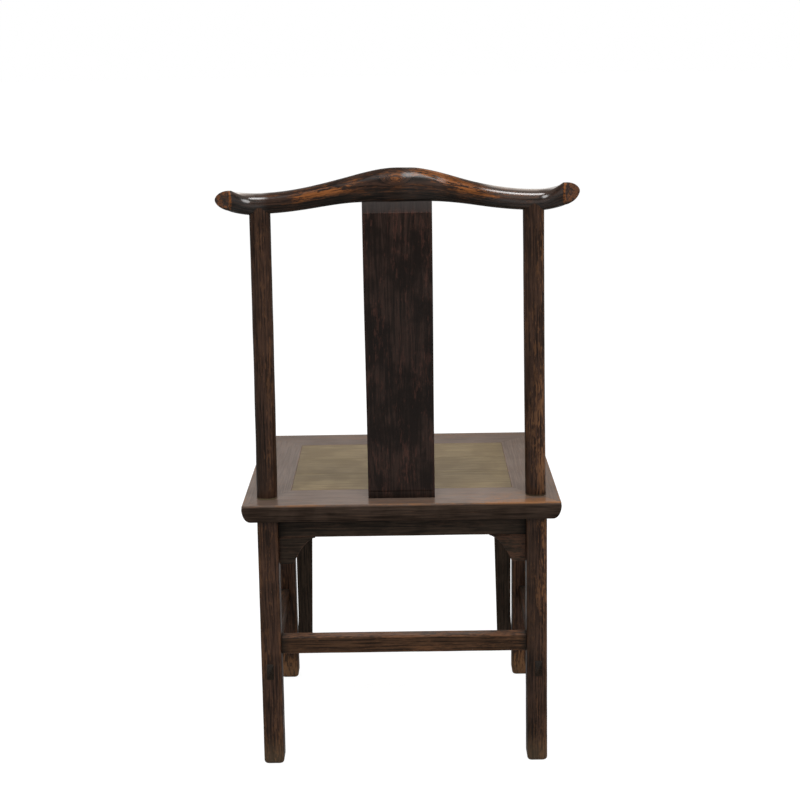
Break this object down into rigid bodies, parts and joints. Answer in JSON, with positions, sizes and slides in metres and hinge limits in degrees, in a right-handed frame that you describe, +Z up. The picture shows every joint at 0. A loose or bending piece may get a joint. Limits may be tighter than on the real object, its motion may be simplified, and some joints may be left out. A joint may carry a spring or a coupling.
{
  "type": "wooden dining chair",
  "caption": "Wooden side chair with a carved crest rail on round posts, a curved back splat, a mitred seat frame round a flush panel, aprons and stepped stretchers.",
  "frame": {"origin": "on the floor, under the middle of the chair's bounding box", "axes": "+Z up, the sitter faces -Y, +X at the sitter's left hand"},
  "size_m": [0.5354, 0.4366, 0.9825],
  "materials": {
    "crest_wood": "old dark stain, worn to orange brown on the raised parts, waxed",
    "leg_wood": "old dark stain with open grain and worn corners",
    "splat_wood": "very dark reddish brown, satin",
    "seat_frame_wood": "purplish brown, polished by use",
    "seat_panel_wood": "lighter olive tan, polished by use",
    "apron_wood": "dark stain, dull",
    "stretcher_wood": "reddish brown stain, worn on the top edge",
    "batten_wood": "unfinished underside"
  },
  "bodies": {
    "root": {"crest_rail": "crest_wood", "rear_leg_left": "leg_wood", "rear_leg_right": "leg_wood", "front_leg_left": "leg_wood", "front_leg_right": "leg_wood", "back_splat": "splat_wood", "seat_rail_rear": "seat_frame_wood", "seat_rail_left": "seat_frame_wood", "seat_rail_right": "seat_frame_wood", "seat_rail_front": "seat_frame_wood", "seat_board_rear": "seat_panel_wood", "seat_board_middle": "seat_panel_wood", "seat_board_front": "seat_panel_wood", "rear_apron": "apron_wood", "rear_spandrel_left": "apron_wood", "rear_spandrel_right": "apron_wood", "left_apron": "apron_wood", "left_spandrel_front": "apron_wood", "left_spandrel_rear": "apron_wood", "right_apron": "apron_wood", "right_spandrel_front": "apron_wood", "right_spandrel_rear": "apron_wood", "front_apron": "apron_wood", "front_jamb_left": "apron_wood", "front_jamb_right": "apron_wood", "rear_stretcher": "stretcher_wood", "left_stretcher": "stretcher_wood", "right_stretcher": "stretcher_wood", "front_footrest": "stretcher_wood", "seat_batten_left": "batten_wood", "seat_batten_right": "batten_wood"}
  },
  "joints": []
}
